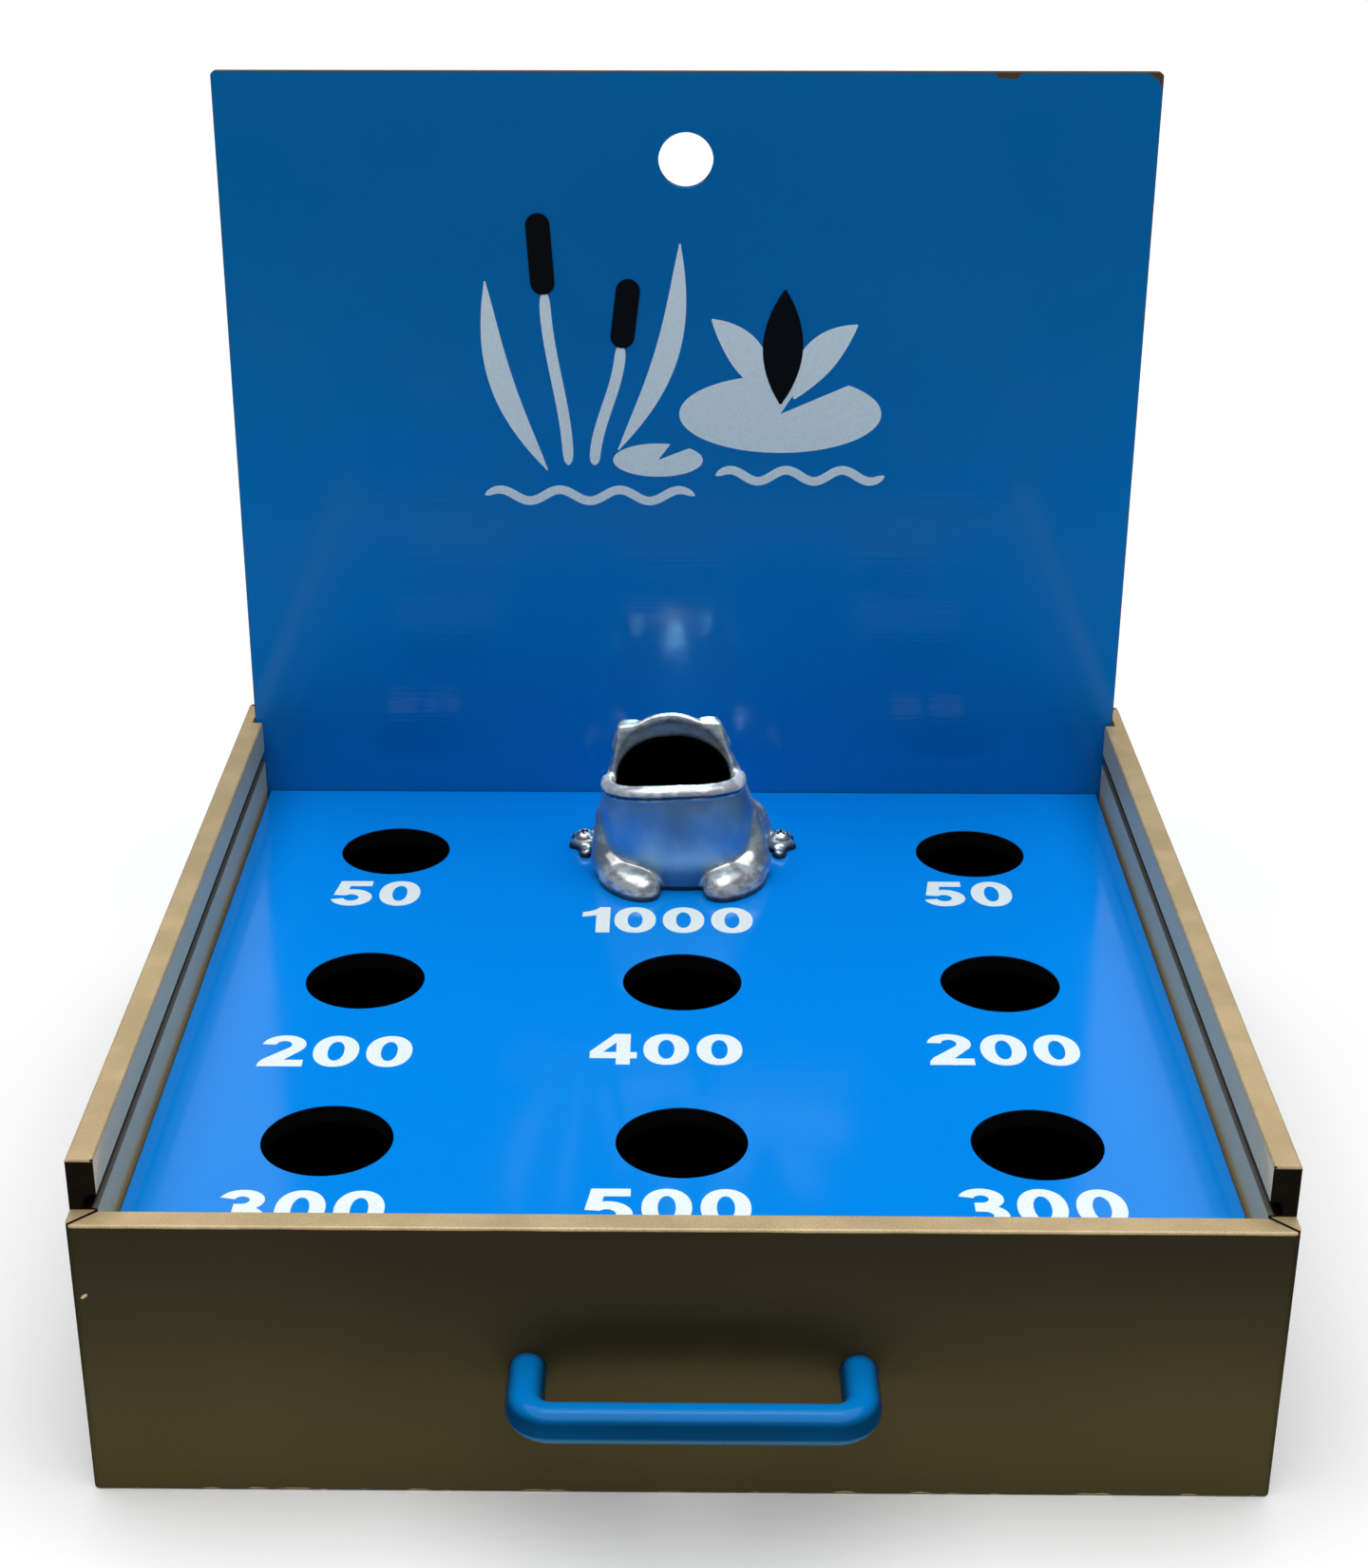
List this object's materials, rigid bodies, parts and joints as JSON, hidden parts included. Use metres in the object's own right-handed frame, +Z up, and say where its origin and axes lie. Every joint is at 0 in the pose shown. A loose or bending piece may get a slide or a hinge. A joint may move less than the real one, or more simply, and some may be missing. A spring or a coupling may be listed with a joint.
{
  "type": "frog toss game",
  "caption": "Shallow carrying case with a lift-out play board of scoring holes, a cast open-mouthed frog target, a divided tray, a front handle and a sliding lid that stands as a backboard.",
  "frame": {"origin": "the middle of the case's underside, on the surface that it stands on", "axes": "+Z up, -Y towards the player and the handle, +X to the player's right"},
  "size_m": [0.35, 0.3802, 0.361],
  "materials": {
    "bronze_paint": "satin metallic paint",
    "blue_paint": "satin gloss paint",
    "pine": "black stain",
    "hardboard": "black stain",
    "handle_coat": "gloss coating",
    "cast_aluminium": "polished casting",
    "zinc_steel": "zinc plated"
  },
  "bodies": {
    "case": {"front_wall": "bronze_paint", "rear_wall": "bronze_paint", "left_wall": "bronze_paint", "right_wall": "bronze_paint", "floor_panel": "hardboard", "left_cleat": "pine", "right_cleat": "pine", "front_cleat": "pine", "rear_rail": "pine", "left_divider": "hardboard", "right_divider": "hardboard", "front_divider": "hardboard", "rear_divider": "hardboard", "carry_handle": "handle_coat", "handle_screws": "zinc_steel", "handle_washers": "zinc_steel"},
    "board": {"play_board": "blue_paint", "frog": "cast_aluminium", "frog_screws": "zinc_steel", "frog_washers": "zinc_steel", "frog_nuts": "zinc_steel"},
    "lid": {"lid": "blue_paint"}
  },
  "joints": [
    {"name": "lid_lift", "type": "slide", "parent": "case", "child": "lid", "axis": [0, 0, 1], "range_m": [0, 0.1]},
    {"name": "board_lift", "type": "slide", "parent": "case", "child": "board", "axis": [0, 0, 1], "range_m": [0, 0.05]}
  ]
}
